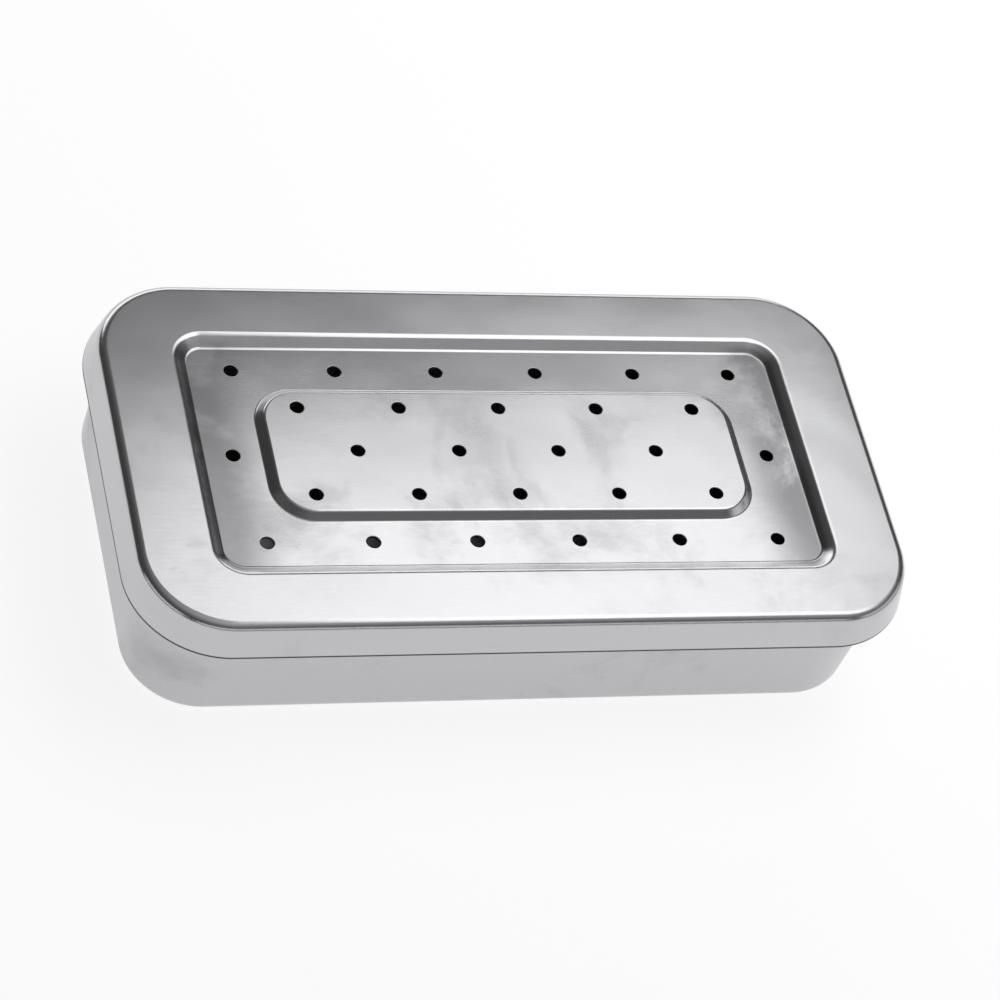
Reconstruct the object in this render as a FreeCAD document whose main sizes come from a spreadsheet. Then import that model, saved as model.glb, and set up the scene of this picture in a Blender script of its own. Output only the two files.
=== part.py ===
import FreeCAD, Part
import os
import Sketcher
from FreeCAD import Rotation, Vector

# Sterilization container for delicate instruments: a drawn stainless steel pan and the perforated
# lid that sits on its rim. The long side lies along X, the bottom of the pan is at Z = 0, and the
# origin is the middle of the bottom.

doc = FreeCAD.newDocument("SterilizationContainer")


# Sizes, in millimetres and degrees

sizes = doc.addObject("Spreadsheet::Sheet", "Sizes")
SIZES = [
    ("lid_length", 200, "outside length of the lid, at the edge of its skirt"),
    ("lid_width", 106, "outside width of the lid, at the edge of its skirt"),
    ("lid_corner", 23.6, "outside corner radius of the skirt's edge in plan"),
    ("skirt_depth", 10, "from the top of the lid to the edge of its skirt"),
    ("skirt_flare", 13.5, "slope of the skirt from upright, wider towards its edge"),
    ("lid_sheet", 0.8, "sheet thickness of the lid"),
    ("lid_bend", 1.7, "inside radius where the border turns down into the skirt"),
    ("channel_length", 159.2, "length of the channel, from corner line to corner line"),
    ("channel_width", 71, "width of the channel"),
    ("channel_corner", 7.9, "corner radius of the channel in plan"),
    ("channel_depth", 2, "from the border down to the floor of the channel"),
    ("channel_slope", 55, "angle of the channel's walls from upright"),
    ("channel_bend", 2.6, "inside radius at the top and at the foot of the channel's wall"),
    ("panel_length", 120.6, "length of the raised panel at its top"),
    ("panel_width", 35.6, "width of the raised panel at its top"),
    ("panel_corner", 8.5, "corner radius of the raised panel in plan"),
    ("panel_height", 2, "from the floor of the channel up to the panel"),
    ("panel_slope", 45, "angle of the panel's walls from upright"),
    ("panel_bend", 0.8, "inside radius at the top and at the foot of the panel's wall"),
    ("hole_size", 3.5, "diameter of a steam hole"),
    ("row_pitch", 26.2, "spacing of the holes along the channel's long sides"),
    ("channel_row", 25.6, "from the middle of the lid to the rows of holes in the channel"),
    ("row_holes", 6, "holes along each long side of the channel"),
    ("panel_pitch", 25.8, "spacing of the holes along the panel"),
    ("panel_row", 13, "from the middle of the panel to its outer rows"),
    ("panel_holes", 5, "holes in each outer row of the panel"),
    ("pan_height", 39.2, "from the bottom of the pan to its rim"),
    ("pan_sheet", 0.8, "sheet thickness of the pan"),
    ("pan_draft", 1, "slope of the pan's wall from upright"),
    ("pan_bend", 2.7, "inside radius between the pan's wall and its bottom"),
    ("seat_clearance", 0.2, "from the lid's bend to the flat of the pan's rim"),
]
for row, (alias, value, meaning) in enumerate(SIZES, start=1):
    sizes.set("A%d" % row, meaning)
    sizes.set("B%d" % row, str(value))
    sizes.setAlias("B%d" % row, alias)
doc.recompute()


# Helpers for sketches, edges and level checks

def value(expression):
    """What an expression on the sheet is worth now, as a plain number."""
    result = sizes.evalExpression(expression)
    return float(getattr(result, "Value", result))


def origin_plane(body, role):
    """One of the body's own three planes."""
    return next(item for item in body.Origin.OriginFeatures if item.Role == role)


def new_body(label):
    """An empty body whose label names the piece."""
    body = doc.addObject("PartDesign::Body", label)
    body.Label = label
    return body


def flat_sketch(body, name, level):
    """A sketch that lies level at a height above the body's own ground plane."""
    sketch = body.newObject("Sketcher::SketchObject", name)
    sketch.AttachmentSupport = (origin_plane(body, "XY_Plane"), "")
    sketch.MapMode = "FlatFace"
    sketch.setExpression("AttachmentOffset.Base.z", level)
    return sketch


def rounded_outline(sketch, length, width, corner):
    """A rectangle about the origin with four round corners, every size bound to the sheet."""
    x = value(length) / 2
    y = value(width) / 2
    r = value(corner)
    up = Vector(0, 0, 1)
    ends = [
        (Vector(r - x, -y), Vector(x - r, -y)),
        (Vector(x, r - y), Vector(x, y - r)),
        (Vector(x - r, y), Vector(r - x, y)),
        (Vector(-x, y - r), Vector(-x, r - y)),
    ]
    centres = [Vector(x - r, r - y), Vector(x - r, y - r), Vector(r - x, y - r), Vector(r - x, r - y)]
    quarter = Part.Circle().LastParameter / 4
    for side in range(4):
        sketch.addGeometry(Part.LineSegment(*ends[side]), False)
        circle = Part.Circle(centres[side], up, r)
        sketch.addGeometry(Part.ArcOfCircle(circle, (side - 1) * quarter, side * quarter), False)
    for item in range(8):
        sketch.addConstraint(Sketcher.Constraint("Tangent", item, 2, (item + 1) % 8, 1))
    for side, direction in enumerate(["Horizontal", "Vertical", "Horizontal", "Vertical"]):
        sketch.addConstraint(Sketcher.Constraint(direction, 2 * side))
    for arc in (3, 5, 7):
        sketch.addConstraint(Sketcher.Constraint("Equal", 1, arc))
    sketch.addConstraint(Sketcher.Constraint("Symmetric", 3, 3, 7, 3, -1, 1))
    sizes_of_outline = [
        ("length", length, Sketcher.Constraint("DistanceX", 6, 1, 2, 1, 2 * x)),
        ("width", width, Sketcher.Constraint("DistanceY", 0, 1, 4, 1, 2 * y)),
        ("corner", corner, Sketcher.Constraint("Radius", 1, r)),
    ]
    for name, expression, constraint in sizes_of_outline:
        index = sketch.addConstraint(constraint)
        sketch.renameConstraint(index, name)
        sketch.setExpression("Constraints." + name, expression)
    doc.recompute()


def level_edges(feature, level, length, width):
    """The edges that lie level at a height and inside a rectangle about the origin."""
    height = value(level)
    reach = (value(length) / 2 + 0.01, value(width) / 2 + 0.01)
    names = []
    for number, edge in enumerate(feature.Shape.Edges, start=1):
        box = edge.BoundBox
        is_level = abs(box.ZMin - height) < 0.001 and abs(box.ZMax - height) < 0.001
        is_inside = max(-box.XMin, box.XMax) < reach[0] and max(-box.YMin, box.YMax) < reach[1]
        if is_level and is_inside:
            names.append("Edge%d" % number)
    return names


def round_edges(body, name, base, edges, radius):
    """A fillet on named edges of the feature before it."""
    fillet = body.newObject("PartDesign::Fillet", name)
    fillet.Base = (base, edges)
    fillet.setExpression("Radius", radius)
    doc.recompute()
    return fillet


# Lid
#
# One pressing. Its own ground plane is the underside of the border, which lands on the pan's rim.
# The same steps build the form of its upper side and, one sheet further in, the hollow below it,
# which is then cut out. The hollow leaves out the small bends of the channel and the panel, where
# a sharp corner is within 0.2 mm of the bend.

TOP = "Sizes.lid_sheet"
SKIRT_EDGE = "Sizes.lid_sheet - Sizes.skirt_depth"
CHANNEL_RUN = "Sizes.channel_depth * tan(Sizes.channel_slope * 1 deg)"
PANEL_RUN = "Sizes.panel_height * tan(Sizes.panel_slope * 1 deg)"


def pressed_form(body, name, skin, small_bends):
    """The solid under the lid's upper side, with a layer as thick as skin taken off all over.

    Taking a layer off a level face and off the sloped wall beside it moves the line where they meet
    sideways, by the layer times the tangent of half the angle between the wall and the level.
    """
    top = "Sizes.lid_sheet - " + skin
    floor = top + " - Sizes.channel_depth"
    wall = skin + " / cos(Sizes.skirt_flare * 1 deg)"
    lean = "(Sizes.skirt_depth - %s) * tan(Sizes.skirt_flare * 1 deg)" % skin
    length = "(Sizes.lid_length - 2 * %s)" % wall
    width = "(Sizes.lid_width - 2 * %s)" % wall
    outline = flat_sketch(body, name + "Outline", SKIRT_EDGE)
    rounded_outline(outline, length, width, "Sizes.lid_corner - " + wall)
    form = body.newObject("PartDesign::Pad", name + "Form")
    form.Profile = outline
    form.setExpression("Length", "Sizes.skirt_depth - " + skin)
    form.setExpression("TaperAngle", "-Sizes.skirt_flare")
    doc.recompute()
    edges = level_edges(form, top, length + " - 2 * " + lean, width + " - 2 * " + lean)
    round_edges(body, name + "Bend", form, edges, "Sizes.lid_bend + Sizes.lid_sheet - " + skin)

    spread = skin + " * tan((90 - Sizes.channel_slope) / 2 * 1 deg)"
    length = "Sizes.channel_length + 2 * " + spread
    width = "Sizes.channel_width + 2 * " + spread
    outline = flat_sketch(body, name + "ChannelOutline", top)
    rounded_outline(outline, length, width, "Sizes.channel_corner + " + spread)
    channel = body.newObject("PartDesign::Pocket", name + "Channel")
    channel.Profile = outline
    channel.setExpression("Length", "Sizes.channel_depth")
    channel.setExpression("TaperAngle", "-Sizes.channel_slope")
    doc.recompute()
    if small_bends:
        edges = level_edges(channel, top, length, width)
        channel = round_edges(body, "ChannelTop", channel, edges, "Sizes.channel_bend + Sizes.lid_sheet")
        edges = level_edges(channel, floor, length, width)
        channel = round_edges(body, "ChannelFoot", channel, edges, "Sizes.channel_bend")

    inset = PANEL_RUN + " - %s * tan((90 - Sizes.panel_slope) / 2 * 1 deg)" % skin
    length = "Sizes.panel_length + 2 * (%s)" % inset
    width = "Sizes.panel_width + 2 * (%s)" % inset
    outline = flat_sketch(body, name + "PanelOutline", floor)
    rounded_outline(outline, length, width, "Sizes.panel_corner + " + inset)
    panel = body.newObject("PartDesign::Pad", name + "Panel")
    panel.Profile = outline
    panel.setExpression("Length", "Sizes.panel_height")
    panel.setExpression("TaperAngle", "-Sizes.panel_slope")
    doc.recompute()
    if small_bends:
        level = floor + " + Sizes.panel_height"
        edges = level_edges(panel, level, "Sizes.panel_length", "Sizes.panel_width")
        panel = round_edges(body, "PanelTop", panel, edges, "Sizes.panel_bend + Sizes.lid_sheet")
        edges = level_edges(panel, floor, length, width)
        round_edges(body, "PanelFoot", panel, edges, "Sizes.panel_bend")


lid = new_body("lid")
hollow = new_body("hollow")
lid.setExpression("Placement.Base.z", "Sizes.pan_height")
pressed_form(lid, "Lid", "0 * Sizes.lid_sheet", True)
pressed_form(hollow, "Hollow", "Sizes.lid_sheet", False)
pressing = lid.newObject("PartDesign::Boolean", "LidSheet")
pressing.Type = "Cut"
pressing.setObjects([hollow])
lid.Tip = pressing
doc.recompute()


# Steam holes of the lid
#
# Each run of holes is one punched hole and its pattern. The two end holes stand in the middle of the
# channel's floor, and the panel's middle row stands half a pitch off its outer rows.

SIDE_X = "(Sizes.channel_length / 2 - %s + Sizes.panel_length / 2 + %s) / 2" % (CHANNEL_RUN, PANEL_RUN)


def punched_hole(name, x, y):
    """One round hole through the lid at a place on it, cut from above."""
    sketch = flat_sketch(lid, name + "Centre", TOP)
    circle = Part.Circle(Vector(value(x), value(y)), Vector(0, 0, 1), value("Sizes.hole_size") / 2)
    sketch.addGeometry(circle, False)
    places = [
        ("x", x, Sketcher.Constraint("DistanceX", -1, 1, 0, 3, value(x))),
        ("y", y, Sketcher.Constraint("DistanceY", -1, 1, 0, 3, value(y))),
        ("size", "Sizes.hole_size", Sketcher.Constraint("Diameter", 0, value("Sizes.hole_size"))),
    ]
    for label, expression, constraint in places:
        index = sketch.addConstraint(constraint)
        sketch.renameConstraint(index, label)
        sketch.setExpression("Constraints." + label, expression)
    hole = lid.newObject("PartDesign::Pocket", name)
    hole.Profile = sketch
    hole.Type = "ThroughAll"
    doc.recompute()
    return hole


def add_pattern(name, hole, count, pitch, mirror_role):
    """Repeats a hole along X, and over the middle of the lid where a mirror plane is given."""
    steps = []
    pattern = lid.newObject("PartDesign::MultiTransform", name)
    pattern.Originals = [hole]
    if count:
        row = lid.newObject("PartDesign::LinearPattern", name + "Row")
        row.Direction = (hole.Profile[0], ["H_Axis"])
        row.Mode = "Spacing"
        row.setExpression("Offset", pitch)
        row.setExpression("Occurrences", count)
        steps.append(row)
    if mirror_role:
        mirror = lid.newObject("PartDesign::Mirrored", name + "Mirror")
        mirror.MirrorPlane = (origin_plane(lid, mirror_role), [""])
        steps.append(mirror)
    pattern.Transformations = steps
    lid.Tip = pattern
    doc.recompute()


ROW_START = "-(Sizes.row_holes - 1) / 2 * Sizes.row_pitch"
PANEL_START = "-(Sizes.panel_holes - 1) / 2 * Sizes.panel_pitch"
MIDDLE_START = "-(Sizes.panel_holes - 2) / 2 * Sizes.panel_pitch"

hole = punched_hole("ChannelRowHole", ROW_START, "Sizes.channel_row")
add_pattern("ChannelRows", hole, "Sizes.row_holes", "Sizes.row_pitch", "XZ_Plane")
hole = punched_hole("ChannelEndHole", SIDE_X, "0 * Sizes.hole_size")
add_pattern("ChannelEnds", hole, None, None, "YZ_Plane")
hole = punched_hole("PanelRowHole", PANEL_START, "Sizes.panel_row")
add_pattern("PanelRows", hole, "Sizes.panel_holes", "Sizes.panel_pitch", "XZ_Plane")
hole = punched_hole("PanelMiddleHole", MIDDLE_START, "0 * Sizes.hole_size")
add_pattern("PanelMiddle", hole, "Sizes.panel_holes - 1", "Sizes.panel_pitch", None)


# Pan
#
# One deep drawn pressing. Its wall leans in a little towards the bottom so that it leaves the die,
# and its rim comes just inside the bend of the lid, so that the lid's border lands flat on it.

RIM = "Sizes.pan_height"
BEND_RUN = "(Sizes.lid_bend + Sizes.lid_sheet) * tan((90 - Sizes.skirt_flare) / 2 * 1 deg)"
LEAN = "Sizes.skirt_depth * tan(Sizes.skirt_flare * 1 deg)"
INSET = "(%s + %s + Sizes.seat_clearance)" % (LEAN, BEND_RUN)
RIM_LENGTH = "Sizes.lid_length - 2 * " + INSET
RIM_WIDTH = "Sizes.lid_width - 2 * " + INSET
RIM_CORNER = "Sizes.lid_corner - " + INSET
WALL = "Sizes.pan_sheet / cos(Sizes.pan_draft * 1 deg)"
INSIDE_LENGTH = RIM_LENGTH + " - 2 * " + WALL
INSIDE_WIDTH = RIM_WIDTH + " - 2 * " + WALL
GROUND = "0 * Sizes.pan_height"

pan = new_body("pan")

outline = flat_sketch(pan, "RimOutline", RIM)
rounded_outline(outline, RIM_LENGTH, RIM_WIDTH, RIM_CORNER)
form = pan.newObject("PartDesign::Pad", "PanForm")
form.Profile = outline
form.Reversed = True
form.setExpression("Length", RIM)
form.setExpression("TaperAngle", "-Sizes.pan_draft")
doc.recompute()

outline = flat_sketch(pan, "InsideOutline", RIM)
rounded_outline(outline, INSIDE_LENGTH, INSIDE_WIDTH, RIM_CORNER + " - " + WALL)
inside = pan.newObject("PartDesign::Pocket", "Inside")
inside.Profile = outline
inside.setExpression("Length", "Sizes.pan_height - Sizes.pan_sheet")
inside.setExpression("TaperAngle", "-Sizes.pan_draft")
doc.recompute()
edges = level_edges(inside, "Sizes.pan_sheet", INSIDE_LENGTH, INSIDE_WIDTH)
inside = round_edges(pan, "InsideBend", inside, edges, "Sizes.pan_bend")
edges = level_edges(inside, GROUND, RIM_LENGTH, RIM_WIDTH)
round_edges(pan, "BottomBend", inside, edges, "Sizes.pan_bend + Sizes.pan_sheet")


# Check the document and write each piece

doc.recompute()
for item in doc.Objects:
    if "Invalid" in item.State or "Error" in item.State:
        raise RuntimeError("%s could not be built" % item.Label)
os.makedirs("parts", exist_ok=True)
for piece in (lid, pan):
    if piece.Shape.isNull() or not piece.Shape.isValid() or len(piece.Shape.Solids) != 1:
        raise RuntimeError("%s is not one sound solid" % piece.Label)
    piece.Shape.exportStep("parts/%s.step" % piece.Label)
    print(piece.Label, "volume %.1f mm3" % piece.Shape.Volume)
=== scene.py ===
import math
import bmesh
import bpy
from mathutils import Euler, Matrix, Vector


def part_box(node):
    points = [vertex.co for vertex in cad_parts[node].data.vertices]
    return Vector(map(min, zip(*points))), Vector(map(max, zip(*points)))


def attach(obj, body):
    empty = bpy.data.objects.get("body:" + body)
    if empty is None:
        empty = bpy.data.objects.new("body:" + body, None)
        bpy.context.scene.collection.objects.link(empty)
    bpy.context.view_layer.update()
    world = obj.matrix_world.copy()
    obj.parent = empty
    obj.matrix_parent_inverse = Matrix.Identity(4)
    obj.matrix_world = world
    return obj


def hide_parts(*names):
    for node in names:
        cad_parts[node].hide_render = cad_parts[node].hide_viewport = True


# A sterilization container for delicate instruments: a drawn steel pan under a pressed steel lid
# with steam holes. Everything is in metres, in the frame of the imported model: X along the long
# side, Z up, the pan's bottom at Z = 0.

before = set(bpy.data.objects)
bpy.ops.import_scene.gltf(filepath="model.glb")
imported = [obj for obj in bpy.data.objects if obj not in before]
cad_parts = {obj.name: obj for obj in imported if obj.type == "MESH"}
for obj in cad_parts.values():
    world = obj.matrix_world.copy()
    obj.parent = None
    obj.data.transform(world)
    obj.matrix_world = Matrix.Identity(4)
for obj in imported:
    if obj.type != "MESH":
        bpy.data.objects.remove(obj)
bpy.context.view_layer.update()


# Camera
# It stands in front of the box, to the left and well above, and it leans a little, so that the
# long edges lie level in the picture.

camera_data = bpy.data.cameras.new("camera")
camera_data.sensor_width = 36
camera_data.lens = 133.47
camera_data.clip_start = 0.05
camera = bpy.data.objects.new("camera", camera_data)
camera.location = (-0.315, -0.5086, 0.7167)
camera.rotation_euler = Euler([math.radians(turn) for turn in (37.927, -16.106, -12.472)])
bpy.context.scene.collection.objects.link(camera)
bpy.context.scene.camera = camera
bpy.context.scene.view_settings.view_transform = "Standard"


# Room
# A broad soft panel hangs over the table and ends above the box's far side, so the lid is bright in
# front and darker behind. Wide low lights stand behind the table, in front of it and at both ends,
# so that the lid is bright from there too. The rest of the room is dim.

PANEL_LIGHT = 1.16
BACK_LIGHT = 1.3
SIDE_LIGHT = 0.6
WATTS_FOR_WHITE = 4
BRIGHTEST_WAY = Vector((0.224, -0.129, 0.966))
# How bright the room is at so many degrees from its brightest part.
ROOM_FALLOFF = [
    (0, 0.5),
    (12, 0.48),
    (24, 0.36),
    (42, 0.16),
    (56, 0.06),
    (90, 0.05),
]
BRIGHTEST = ROOM_FALLOFF[0][1]
DIMMEST_AT = ROOM_FALLOFF[-1][0]


def node(tree, kind, **values):
    """A shader node with its plain properties set."""
    made = tree.nodes.new(kind)
    for name, value in values.items():
        setattr(made, name, value)
    return made


def join(tree, output, socket):
    tree.links.new(output, socket)


def figure(tree, operation, *values):
    """The result of a Math node. Each value is a number or another node's output."""
    made = node(tree, "ShaderNodeMath", operation=operation)
    for count, value in enumerate(values):
        if isinstance(value, (int, float)):
            made.inputs[count].default_value = value
        else:
            join(tree, value, made.inputs[count])
    return made.outputs[0]


def soft_light(name, place, tilt, length, width, strength):
    """A rectangular light whose face has the given strength, where 1 shows as white.

    It faces down, and tilt turns it about X, Y and Z in degrees.
    """
    data = bpy.data.lights.new(name, "AREA")
    data.shape = "RECTANGLE"
    data.size = length
    data.size_y = width
    data.energy = WATTS_FOR_WHITE * length * width * strength
    light = bpy.data.objects.new(name, data)
    light.location = place
    light.rotation_euler = Euler([math.radians(turn) for turn in tilt])
    light.visible_camera = False
    bpy.context.scene.collection.objects.link(light)


soft_light("panel_light", (0.26, 0.13, 0.54), (0, 0, 12), 0.38, 0.56, PANEL_LIGHT)
soft_light("back_light", (0.05, 1, 0.32), (-75, 0, -3), 1.3, 0.42, BACK_LIGHT)
soft_light("front_light", (0, -1, 0.3), (75, 0, 0), 1.3, 0.26, SIDE_LIGHT)
soft_light("left_light", (-0.95, -0.3, 0.3), (75, 0, -72.5), 1, 0.26, SIDE_LIGHT)
soft_light("right_light", (0.95, -0.3, 0.3), (75, 0, 72.5), 1, 0.26, SIDE_LIGHT)

world = bpy.data.worlds.new("room")
bpy.context.scene.world = world
world.use_nodes = True
tree = world.node_tree
tree.nodes.clear()
direction = node(tree, "ShaderNodeTexCoord")
facing = node(tree, "ShaderNodeVectorMath", operation="DOT_PRODUCT")
facing.inputs[1].default_value = BRIGHTEST_WAY
join(tree, direction.outputs["Generated"], facing.inputs[0])
angle = figure(tree, "ARCCOSINE", facing.outputs["Value"])
share = figure(tree, "DIVIDE", angle, math.radians(DIMMEST_AT))
falloff = node(tree, "ShaderNodeValToRGB")
falloff.color_ramp.interpolation = "B_SPLINE"
stops = falloff.color_ramp.elements
for count, (degrees, strength) in enumerate(ROOM_FALLOFF):
    stop = stops[count] if count < 2 else stops.new(1)
    stop.position = degrees / DIMMEST_AT
    stop.color = [strength / BRIGHTEST] * 3 + [1]
join(tree, share, falloff.inputs[0])
studio = node(tree, "ShaderNodeBackground")
studio.inputs["Strength"].default_value = BRIGHTEST
join(tree, falloff.outputs[0], studio.inputs["Color"])
plain = node(tree, "ShaderNodeBackground")
plain.inputs["Color"].default_value = (1, 1, 1, 1)
ray = node(tree, "ShaderNodeLightPath")
choose = node(tree, "ShaderNodeMixShader")
join(tree, ray.outputs["Is Camera Ray"], choose.inputs[0])
join(tree, studio.outputs[0], choose.inputs[1])
join(tree, plain.outputs[0], choose.inputs[2])
join(tree, choose.outputs[0], node(tree, "ShaderNodeOutputWorld").inputs["Surface"])


# Table
# A white table top that runs past the picture. It shows white to the camera and keeps a faint
# shadow of the box. The steel mirrors it a little greyer, which keeps the skirt and the pan grey.

TABLE_RADIUS = 6
TABLE_GLOW = 0.83
TABLE_MATT = 0.32
TABLE_PALE = 0.9
IN_STEEL = 0.82

bpy.ops.object.select_all(action="DESELECT")
bpy.ops.mesh.primitive_circle_add(vertices=96, radius=TABLE_RADIUS, fill_type="NGON")
table = bpy.context.object
table.name = "table"
finish = bpy.data.materials.new("white_table")
finish.use_nodes = True
tree = finish.node_tree
tree.nodes.clear()
glow = node(tree, "ShaderNodeEmission")
glow.inputs["Color"].default_value = (1, 1, 1, 1)
glow.inputs["Strength"].default_value = TABLE_GLOW
matt = node(tree, "ShaderNodeBsdfDiffuse")
matt.inputs["Color"].default_value = (TABLE_MATT, TABLE_MATT, TABLE_MATT, 1)
both = node(tree, "ShaderNodeAddShader")
join(tree, glow.outputs[0], both.inputs[0])
join(tree, matt.outputs[0], both.inputs[1])
pale = node(tree, "ShaderNodeBsdfDiffuse")
pale.inputs["Color"].default_value = (TABLE_PALE, TABLE_PALE, TABLE_PALE, 1)
ray = node(tree, "ShaderNodeLightPath")
mirrored = figure(tree, "MULTIPLY", ray.outputs["Is Glossy Ray"], IN_STEEL)
seen = figure(tree, "MAXIMUM", ray.outputs["Is Camera Ray"], mirrored)
seen = figure(tree, "MAXIMUM", seen, ray.outputs["Is Transmission Ray"])
choose = node(tree, "ShaderNodeMixShader")
join(tree, seen, choose.inputs[0])
join(tree, pale.outputs[0], choose.inputs[1])
join(tree, both.outputs[0], choose.inputs[2])
join(tree, choose.outputs[0], node(tree, "ShaderNodeOutputMaterial").inputs["Surface"])
table.data.materials.append(finish)


# Satin steel
# The grain is the fine, even roughness that brushing leaves. The waviness is how thin drawn sheet
# lies: nearly flat, with shallow hollows that cloud what it mirrors. Handling leaves faint smudges.

SMUDGE_FADE = 0.22
SMUDGE_BLUR = 0.08
GRAIN_STRENGTH = 0.25
GRAIN_DEPTH = 0.000012
WORN_GAIN = 1.1
# The sockets of a Mix node that mixes colours go by number, because its other kinds share the names.
MIX_SHARE = 0
MIX_UNDER = 6
MIX_OVER = 7
MIX_RESULT = 2


def group(name, takes, gives):
    """A shader node group with named inputs, each with its start value, and named outputs."""
    tree = bpy.data.node_groups.new(name, "ShaderNodeTree")
    for label, kind, start in takes:
        socket = tree.interface.new_socket(label, in_out="INPUT", socket_type=kind)
        if start is not None:
            socket.default_value = start
    for label, kind in gives:
        tree.interface.new_socket(label, in_out="OUTPUT", socket_type=kind)
    return tree, tree.nodes.new("NodeGroupInput"), tree.nodes.new("NodeGroupOutput")


waviness, taken, given = group(
    "waviness",
    [
        ("Across", "NodeSocketFloat", 20),
        ("Depth", "NodeSocketFloat", 0.0001),
        ("Seed", "NodeSocketFloat", 0),
        ("Normal", "NodeSocketVector", None),
    ],
    [("Normal", "NodeSocketVector")],
)
place = node(waviness, "ShaderNodeTexCoord")
slow = node(waviness, "ShaderNodeTexNoise", noise_dimensions="4D")
slow.inputs["Detail"].default_value = 2.5
slow.inputs["Roughness"].default_value = 0.45
join(waviness, place.outputs["Object"], slow.inputs["Vector"])
join(waviness, taken.outputs["Across"], slow.inputs["Scale"])
join(waviness, taken.outputs["Seed"], slow.inputs["W"])
hollows = node(waviness, "ShaderNodeBump")
hollows.inputs["Strength"].default_value = 1
join(waviness, slow.outputs[0], hollows.inputs["Height"])
join(waviness, taken.outputs["Depth"], hollows.inputs["Distance"])
join(waviness, taken.outputs["Normal"], hollows.inputs["Normal"])
join(waviness, hollows.outputs["Normal"], given.inputs["Normal"])

grain, taken, given = group(
    "satin_grain",
    [
        ("Roughness", "NodeSocketFloat", 0.25),
        ("Spread", "NodeSocketFloat", 0.06),
        ("Scale", "NodeSocketFloat", 2400),
    ],
    [("Roughness", "NodeSocketFloat"), ("Height", "NodeSocketFloat")],
)
place = node(grain, "ShaderNodeTexCoord")
stretch = node(grain, "ShaderNodeMapping")
stretch.inputs["Scale"].default_value = (0.12, 1, 1)
join(grain, place.outputs["Object"], stretch.inputs["Vector"])
lines = node(grain, "ShaderNodeTexNoise")
lines.inputs["Detail"].default_value = 3
join(grain, stretch.outputs[0], lines.inputs["Vector"])
join(grain, taken.outputs["Scale"], lines.inputs["Scale"])
centred = figure(grain, "SUBTRACT", lines.outputs[0], 0.5)
spread = figure(
    grain, "MULTIPLY_ADD", centred, taken.outputs["Spread"], taken.outputs["Roughness"]
)
join(grain, spread, given.inputs["Roughness"])
join(grain, lines.outputs[0], given.inputs["Height"])

smudges, taken, given = group(
    "smudges",
    [
        ("Scale", "NodeSocketFloat", 30),
        ("Cover", "NodeSocketFloat", 0.5),
        ("Seed", "NodeSocketFloat", 0),
    ],
    [("Mask", "NodeSocketFloat")],
)
place = node(smudges, "ShaderNodeTexCoord")
cloud = node(smudges, "ShaderNodeTexNoise", noise_dimensions="4D")
cloud.inputs["Detail"].default_value = 5
cloud.inputs["Roughness"].default_value = 0.62
cloud.inputs["Distortion"].default_value = 0.6
join(smudges, place.outputs["Object"], cloud.inputs["Vector"])
join(smudges, taken.outputs["Scale"], cloud.inputs["Scale"])
join(smudges, taken.outputs["Seed"], cloud.inputs["W"])
edge = figure(smudges, "ADD", taken.outputs["Cover"], SMUDGE_FADE)
fade = node(smudges, "ShaderNodeMapRange", interpolation_type="SMOOTHSTEP")
join(smudges, cloud.outputs[0], fade.inputs["Value"])
join(smudges, taken.outputs["Cover"], fade.inputs["From Min"])
join(smudges, edge, fade.inputs["From Max"])
join(smudges, fade.outputs[0], given.inputs["Mask"])

edge_wear, taken, given = group(
    "edge_wear",
    [
        ("Radius", "NodeSocketFloat", 0.0006),
        ("Low", "NodeSocketFloat", 0.02),
        ("High", "NodeSocketFloat", 0.2),
    ],
    [("Mask", "NodeSocketFloat")],
)
rounded = node(edge_wear, "ShaderNodeBevel", samples=6)
join(edge_wear, taken.outputs["Radius"], rounded.inputs["Radius"])
surface = node(edge_wear, "ShaderNodeNewGeometry")
along = node(edge_wear, "ShaderNodeVectorMath", operation="DOT_PRODUCT")
join(edge_wear, rounded.outputs[0], along.inputs[0])
join(edge_wear, surface.outputs["Normal"], along.inputs[1])
turned = figure(edge_wear, "SUBTRACT", 1, along.outputs["Value"])
fade = node(edge_wear, "ShaderNodeMapRange")
join(edge_wear, turned, fade.inputs["Value"])
join(edge_wear, taken.outputs["Low"], fade.inputs["From Min"])
join(edge_wear, taken.outputs["High"], fade.inputs["From Max"])
join(edge_wear, fade.outputs[0], given.inputs["Mask"])


def place_group(tree, made, **values):
    """Puts a node group into a material with its own values."""
    placed = node(tree, "ShaderNodeGroup", node_tree=made)
    for label, value in values.items():
        placed.inputs[label].default_value = value
    return placed


def coat(tree, under, colour, mask):
    """Lays a colour where a mask is 1 over another one, which is a colour or an output."""
    mix = node(tree, "ShaderNodeMix", data_type="RGBA")
    join(tree, mask, mix.inputs[MIX_SHARE])
    if isinstance(under, bpy.types.NodeSocket):
        join(tree, under, mix.inputs[MIX_UNDER])
    else:
        mix.inputs[MIX_UNDER].default_value = (*under, 1)
    mix.inputs[MIX_OVER].default_value = (*colour, 1)
    return mix.outputs[MIX_RESULT]


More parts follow.
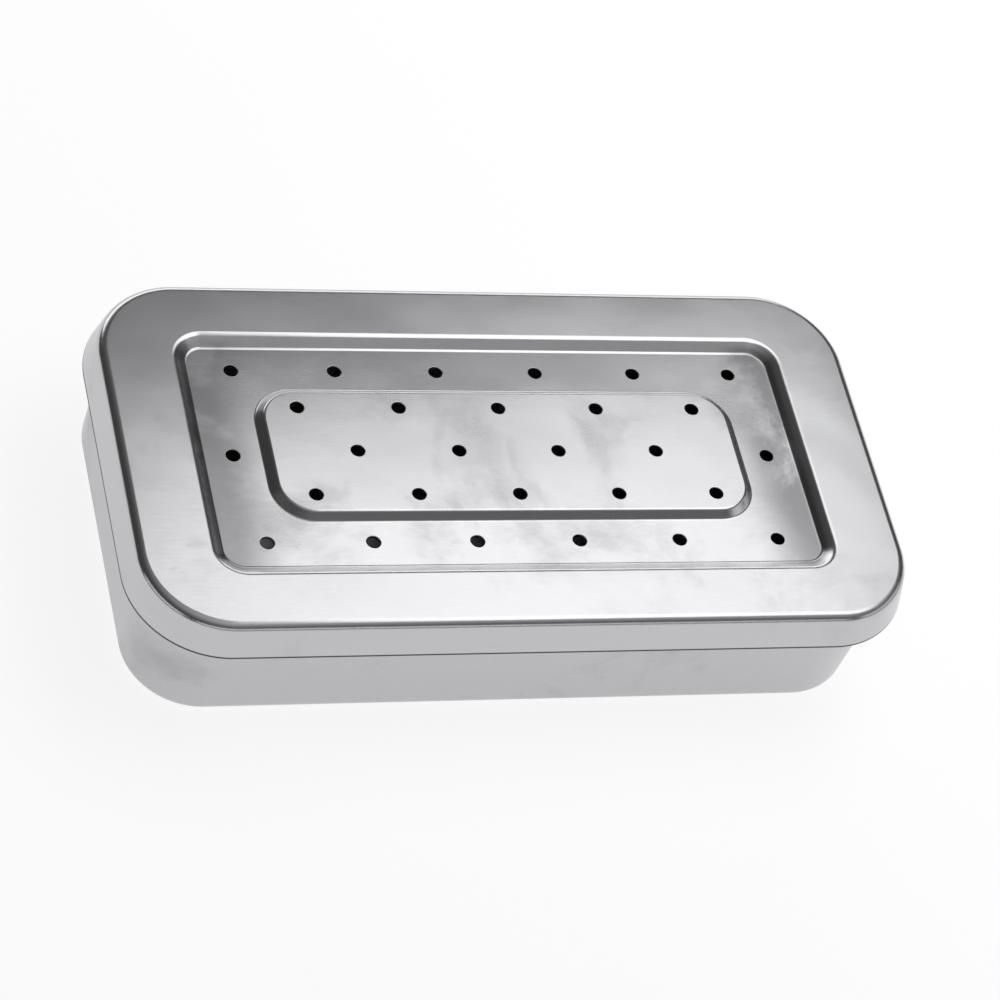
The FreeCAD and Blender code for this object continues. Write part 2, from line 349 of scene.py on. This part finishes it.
def steel(name, colour, smudged, rough, wave, depth, seed):
    """Satin stainless steel. The smudges are a little darker and duller than the clean sheet."""
    made = bpy.data.materials.new(name)
    made.use_nodes = True
    tree = made.node_tree
    shader = tree.nodes["Principled BSDF"]
    shader.inputs["Metallic"].default_value = 1
    marks = place_group(tree, smudges, Scale=26, Cover=0.5, Seed=seed).outputs["Mask"]
    worn = place_group(tree, edge_wear).outputs["Mask"]
    tint = coat(tree, colour, smudged, marks)
    tint = coat(tree, tint, [min(1, part * WORN_GAIN) for part in colour], worn)
    join(tree, tint, shader.inputs["Base Color"])
    fine = place_group(tree, grain, Spread=0.07)
    blurred = figure(tree, "MULTIPLY_ADD", marks, SMUDGE_BLUR, rough)
    join(tree, blurred, fine.inputs["Roughness"])
    join(tree, fine.outputs["Roughness"], shader.inputs["Roughness"])
    lines = node(tree, "ShaderNodeBump")
    lines.inputs["Strength"].default_value = GRAIN_STRENGTH
    lines.inputs["Distance"].default_value = GRAIN_DEPTH
    join(tree, fine.outputs["Height"], lines.inputs["Height"])
    slow = place_group(tree, waviness, Across=wave, Depth=depth, Seed=seed)
    join(tree, lines.outputs["Normal"], slow.inputs["Normal"])
    join(tree, slow.outputs["Normal"], shader.inputs["Normal"])
    return made


# Lid
# One pressing of thin stainless steel. The skirt, the border, the channel and the panel are drawn
# in one stroke and the steam holes are punched. It rests on the pan's rim and lifts straight off.

LID_LOW, LID_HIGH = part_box("lid")
TOP = LID_HIGH.z
SHEET = 0.0008
EDGE = 0.00036
SKIRT_FLARE = math.radians(13.5)
SKIRT_CORNER = 0.0236
LEAN = (TOP - LID_LOW.z) * math.tan(SKIRT_FLARE)
# Half length, half width and corner of each rounded rectangle on the lid's top.
BORDER = (LID_HIGH.x - LEAN, LID_HIGH.y - LEAN, SKIRT_CORNER - LEAN)
CHANNEL = (0.0796, 0.0355, 0.0079)
PANEL = (0.0603, 0.0178, 0.0085)
# Bends are given by their radius on the upper face, and walls by their rise in degrees.
BORDER_BEND = 0.0025
CHANNEL_TOP = 0.0022
CHANNEL_FOOT = 0.0013
PANEL_TOP = 0.0011
PANEL_FOOT = 0.0008
CHANNEL_DEPTH = 0.002
CHANNEL_RISE = 35
PANEL_RISE = 45
FLOOR_FALL = 0.0002
FLOOR_SLOPE = 0.85
CORNER_STEPS = 28
RING_GAP = 0.05


def arc(shape, centre, radius, first, last, steps):
    """Rounded rectangles that follow a bend. Each is (half length, half width, corner, height).

    The bend turns about centre, (distance outside shape, height), from first to last in degrees,
    where 0 is straight up and 90 straight out.
    """
    rings = []
    for step in range(steps + 1):
        turn = math.radians(first + (last - first) * step / steps)
        out = centre[0] + radius * math.sin(turn)
        up = centre[1] + radius * math.cos(turn)
        rings.append((shape[0] + out, shape[1] + out, shape[2] + out, up))
    return rings


def pressing(name, rings):
    """Joins rounded rectangles into one closed skin, with the first and the last one filled.

    Each new one is bridged from well above its place and then moved down.
    """
    bpy.ops.object.select_all(action="DESELECT")
    bpy.ops.mesh.primitive_plane_add(size=1)
    piece = bpy.context.object
    piece.name = name
    bpy.ops.object.mode_set(mode="EDIT")
    bpy.ops.mesh.delete(type="VERT")
    around = 4 * (CORNER_STEPS + 1)

    def pick_last(count):
        mesh = bmesh.from_edit_mesh(piece.data)
        mesh.verts.ensure_lookup_table()
        for vertex in mesh.verts:
            vertex.select = False
        for vertex in mesh.verts[-count:]:
            vertex.select = True
        mesh.select_flush(True)

    for number, (length, width, corner, height) in enumerate(rings):
        bpy.ops.mesh.select_all(action="DESELECT")
        away = RING_GAP if number else 0
        bpy.ops.mesh.primitive_plane_add(size=2, location=(0, 0, height + away))
        bpy.ops.transform.resize(value=(length, width, 1))
        bpy.ops.mesh.bevel(offset=corner, segments=CORNER_STEPS, affect="VERTICES")
        if number == 0:
            continue
        if number < len(rings) - 1:
            bpy.ops.mesh.delete(type="ONLY_FACE")
        pick_last(2 * around)
        bpy.ops.mesh.bridge_edge_loops()
        pick_last(around)
        bpy.ops.transform.translate(value=(0, 0, -away))
    bpy.ops.mesh.select_all(action="SELECT")
    bpy.ops.mesh.normals_make_consistent(inside=False)
    bpy.ops.object.mode_set(mode="OBJECT")
    return piece


def bend_middle(corner, radius, first, last):
    """The middle of the bend that rounds a corner of the upper face, (outside shape, height)."""
    half = math.radians(last - first) / 2
    turn = math.radians(first) + half
    reach = radius / math.cos(half)
    return corner[0] - reach * math.sin(turn), corner[1] - reach * math.cos(turn)


# The channel's floor falls a little towards its outer wall, by FLOOR_SLOPE in degrees.
floor = TOP - CHANNEL_DEPTH
inner_floor = floor + FLOOR_FALL / 2
outer_floor = floor - FLOOR_FALL / 2
flat = 180 + FLOOR_SLOPE
panel_wall = 180 + PANEL_RISE
channel_wall = 180 - CHANNEL_RISE
panel_run = (TOP - inner_floor) / math.tan(math.radians(PANEL_RISE))
channel_run = (TOP - outer_floor) / math.tan(math.radians(CHANNEL_RISE))
upright = 90 - math.degrees(SKIRT_FLARE)
panel_top = bend_middle((0, TOP), PANEL_TOP, 0, PANEL_RISE)
panel_foot = bend_middle((panel_run, inner_floor), PANEL_FOOT, panel_wall, flat)
channel_foot = bend_middle((-channel_run, outer_floor), CHANNEL_FOOT, flat, channel_wall)
channel_top = bend_middle((0, TOP), CHANNEL_TOP, -CHANNEL_RISE, 0)
border = bend_middle((0, TOP), BORDER_BEND, 0, upright)
hem_out = LEAN - EDGE * (1 + math.sin(SKIRT_FLARE)) / math.cos(SKIRT_FLARE)
outer_hem = (hem_out, LID_LOW.z + EDGE)
inner_hem = (hem_out - (SHEET - 2 * EDGE) / math.cos(SKIRT_FLARE), LID_LOW.z + EDGE)

# The rings run from the top of the panel outwards, down the skirt, and back under the sheet.
rings = arc(PANEL, panel_top, PANEL_TOP, 0, PANEL_RISE, 8)
rings += arc(PANEL, panel_foot, PANEL_FOOT, panel_wall, flat, 6)
rings += arc(CHANNEL, channel_foot, CHANNEL_FOOT, flat, channel_wall, 8)
rings += arc(CHANNEL, channel_top, CHANNEL_TOP, -CHANNEL_RISE, 0, 8)
rings += arc(BORDER, border, BORDER_BEND, 0, upright, 14)
rings += arc(BORDER, outer_hem, EDGE, upright, 180, 8)
rings += arc(BORDER, inner_hem, EDGE, 180, 180 + upright, 5)
rings += arc(BORDER, border, BORDER_BEND - SHEET, upright, 0, 10)
rings += arc(CHANNEL, channel_top, CHANNEL_TOP - SHEET, 0, -CHANNEL_RISE, 8)
rings += arc(CHANNEL, channel_foot, CHANNEL_FOOT + SHEET, channel_wall, flat, 8)
rings += arc(PANEL, panel_foot, PANEL_FOOT + SHEET, flat, panel_wall, 6)
rings += arc(PANEL, panel_top, PANEL_TOP - SHEET, PANEL_RISE, 0, 8)
lid = pressing("lid_pressing", rings)

# Steam holes, all punched with one round tool. Its ends flare, so each hole has a soft lip.
HOLE = 0.00175
LIP = 0.00018
HOLE_STEPS = 40
PAST = 0.0005
HOLE_PITCH = 0.0262
PANEL_PITCH = 0.0258
PANEL_ROW = 0.013
CHANNEL_ROW = 0.0256
end_x = (CHANNEL[0] - channel_run + PANEL[0] + panel_run) / 2
places = [(end_x * side, 0, floor) for side in (-1, 1)]
for side in (-1, 1):
    places += [((step - 2.5) * HOLE_PITCH, side * CHANNEL_ROW, floor) for step in range(6)]
    places += [((step - 2) * PANEL_PITCH, side * PANEL_ROW, TOP) for step in range(5)]
places += [((step - 1.5) * PANEL_PITCH, 0, TOP) for step in range(4)]


def steam_punch():
    """The round tool at the origin, with the sheet's upper face at height 0.

    It sticks out past both faces of the sheet.
    """
    profile = [(HOLE + LIP, -SHEET - PAST)]
    for step in range(5):
        turn = math.radians(90 - 90 * step / 4)
        profile.append((HOLE + LIP - LIP * math.cos(turn), -SHEET + LIP - LIP * math.sin(turn)))
    for step in range(5):
        turn = math.radians(90 * step / 4)
        profile.append((HOLE + LIP - LIP * math.cos(turn), -LIP + LIP * math.sin(turn)))
    profile.append((HOLE + LIP, PAST))
    wide, low = profile[0]
    bpy.ops.mesh.primitive_circle_add(
        vertices=HOLE_STEPS, radius=wide, fill_type="NGON", location=(0, 0, low)
    )
    tool = bpy.context.object
    bpy.ops.object.mode_set(mode="EDIT")
    for radius, height in profile[1:]:
        rise = {"value": (0, 0, height - low)}
        bpy.ops.mesh.extrude_region_move(TRANSFORM_OT_translate=rise)
        ratio = radius / wide
        bpy.ops.transform.resize(value=(ratio, ratio, 1), center_override=(0, 0, height))
        wide, low = radius, height
    bpy.ops.mesh.select_all(action="SELECT")
    bpy.ops.mesh.normals_make_consistent(inside=False)
    bpy.ops.object.mode_set(mode="OBJECT")
    bpy.ops.object.transform_apply(location=True)
    return tool


bpy.ops.object.select_all(action="DESELECT")
tool = steam_punch()
punches = []
for spot in places:
    bpy.ops.object.select_all(action="DESELECT")
    tool.select_set(True)
    bpy.context.view_layer.objects.active = tool
    bpy.ops.object.duplicate()
    bpy.ops.transform.translate(value=spot)
    punches.append(bpy.context.object)
bpy.ops.object.select_all(action="DESELECT")
for punch in punches:
    punch.select_set(True)
bpy.context.view_layer.objects.active = punches[0]
bpy.ops.object.join()
punches = bpy.context.object
bpy.ops.object.transform_apply(location=True)


SHARP = math.radians(38)


def use_modifier(piece, kind, **values):
    """Adds a modifier to a piece, sets it and applies it."""
    bpy.ops.object.select_all(action="DESELECT")
    piece.select_set(True)
    bpy.context.view_layer.objects.active = piece
    made = piece.modifiers.new(kind.lower(), kind)
    for name, value in values.items():
        setattr(made, name, value)
    bpy.ops.object.modifier_apply(modifier=made.name)


def finish_sheet(piece):
    """Smooths the bends and keeps the flat parts of a pressing flat."""
    bpy.ops.object.select_all(action="DESELECT")
    piece.select_set(True)
    bpy.context.view_layer.objects.active = piece
    bpy.ops.object.shade_smooth_by_angle(angle=SHARP)
    use_modifier(piece, "WEIGHTED_NORMAL", keep_sharp=True, weight=80)


use_modifier(lid, "BOOLEAN", operation="DIFFERENCE", solver="EXACT", object=punches)
bpy.data.objects.remove(punches)
bpy.data.objects.remove(tool)
finish_sheet(lid)
lid_steel = steel(
    "lid_steel",
    colour=(0.6, 0.6, 0.615),
    smudged=(0.5, 0.5, 0.515),
    rough=0.22,
    wave=18,
    depth=0.0005,
    seed=3,
)

# The channel's floor is darker and mottled at its short ends, with painted shade beside the end
# walls.
# A thin dark line of painted shadow runs along the skirt's lower edge, where the gap under it is in
# shade.
# The colour of the painted shade on the channel floor's short ends.
END_SHADE = (0.3, 0.3, 0.31)
# The colour of the painted shadow line along the skirt's lower edge.
SKIRT_EDGE_SHADE = (0.06, 0.06, 0.065)
WALL_BLUR = 0.001
END_SHADE_FROM = PANEL[0] - 0.002
END_SHADE_FULL = CHANNEL[0] - 0.006
tree = lid_steel.node_tree
shader = tree.nodes["Principled BSDF"]
polished = shader.inputs["Base Color"].links[0].from_socket
place = node(tree, "ShaderNodeTexCoord")
where = node(tree, "ShaderNodeSeparateXYZ")
join(tree, place.outputs["Object"], where.inputs[0])
along = figure(tree, "ABSOLUTE", where.outputs["X"])
across = figure(tree, "ABSOLUTE", where.outputs["Y"])
height = where.outputs["Z"]


def between(output, none, full):
    """A mask in the lid's steel that rises from 0 to 1 as an output goes from none to full."""
    mask = node(tree, "ShaderNodeMapRange", interpolation_type="SMOOTHSTEP")
    mask.inputs["From Min"].default_value = none
    mask.inputs["From Max"].default_value = full
    join(tree, output, mask.inputs["Value"])
    return mask.outputs[0]


# Painted shade: a mottled mask over the channel floor near its short ends, inside the end walls.
end_shade = place_group(tree, smudges, Scale=34, Cover=0.3, Seed=11).outputs["Mask"]
for mask in (
    between(along, CHANNEL[0] + WALL_BLUR, CHANNEL[0] - WALL_BLUR),
    between(along, END_SHADE_FROM, END_SHADE_FULL),
    between(across, CHANNEL[1] + WALL_BLUR, CHANNEL[1] - WALL_BLUR),
    between(height, TOP - 0.3 * CHANNEL_DEPTH, TOP - 0.8 * CHANNEL_DEPTH),
):
    end_shade = figure(tree, "MULTIPLY", end_shade, mask)
# Painted shadow: a thin band at the bottom of the skirt, darkened to stand for the shaded gap under
# it.
skirt_edge_shade = between(height, LID_LOW.z + 2.4 * EDGE, LID_LOW.z + 1.6 * EDGE)
tint = coat(tree, polished, END_SHADE, end_shade)
tint = coat(tree, tint, SKIRT_EDGE_SHADE, skirt_edge_shade)
join(tree, tint, shader.inputs["Base Color"])

lid.data.materials.clear()
lid.data.materials.append(lid_steel)
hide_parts("lid")
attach(lid, "cover")


# Pan
# One deep drawn pressing of the same sheet. Its wall leans out a little towards the rim, a wide
# bend turns it into the flat bottom, and the rim's edge is trimmed and smoothed.

PAN_LOW, PAN_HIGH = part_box("pan")
RIM = PAN_HIGH.z
PAN_CORNER = 0.019
PAN = (PAN_HIGH.x, PAN_HIGH.y, PAN_CORNER)
PAN_LEAN = 1
PAN_BEND = 0.0027

lean = math.radians(PAN_LEAN)
wall_turn = 90 + PAN_LEAN
foot_out = -(RIM - PAN_LOW.z) * math.tan(lean)
bend_out = foot_out - (PAN_BEND + SHEET) * math.tan((math.radians(90) - lean) / 2)
bend = (bend_out, PAN_LOW.z + PAN_BEND + SHEET)
wall = SHEET / math.cos(lean)
round_out = EDGE / math.cos(lean)
inner_edge = (-wall - EDGE * math.tan(lean) + round_out, RIM - EDGE)
outer_edge = (-EDGE * math.tan(lean) - round_out, RIM - EDGE)
rings = arc(PAN, bend, PAN_BEND, 180, wall_turn, 12)
rings += arc(PAN, inner_edge, EDGE, 180 + wall_turn, 360, 4)
rings += arc(PAN, outer_edge, EDGE, 0, wall_turn, 4)
rings += arc(PAN, bend, PAN_BEND + SHEET, wall_turn, 180, 14)
pan = pressing("pan_pressing", rings)
finish_sheet(pan)
pan.data.materials.clear()
pan_steel = steel(
    "pan_steel",
    colour=(0.58, 0.58, 0.6),
    smudged=(0.48, 0.48, 0.5),
    rough=0.26,
    wave=18,
    depth=0.0002,
    seed=8,
)
pan.data.materials.append(pan_steel)
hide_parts("pan")
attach(pan, "base")
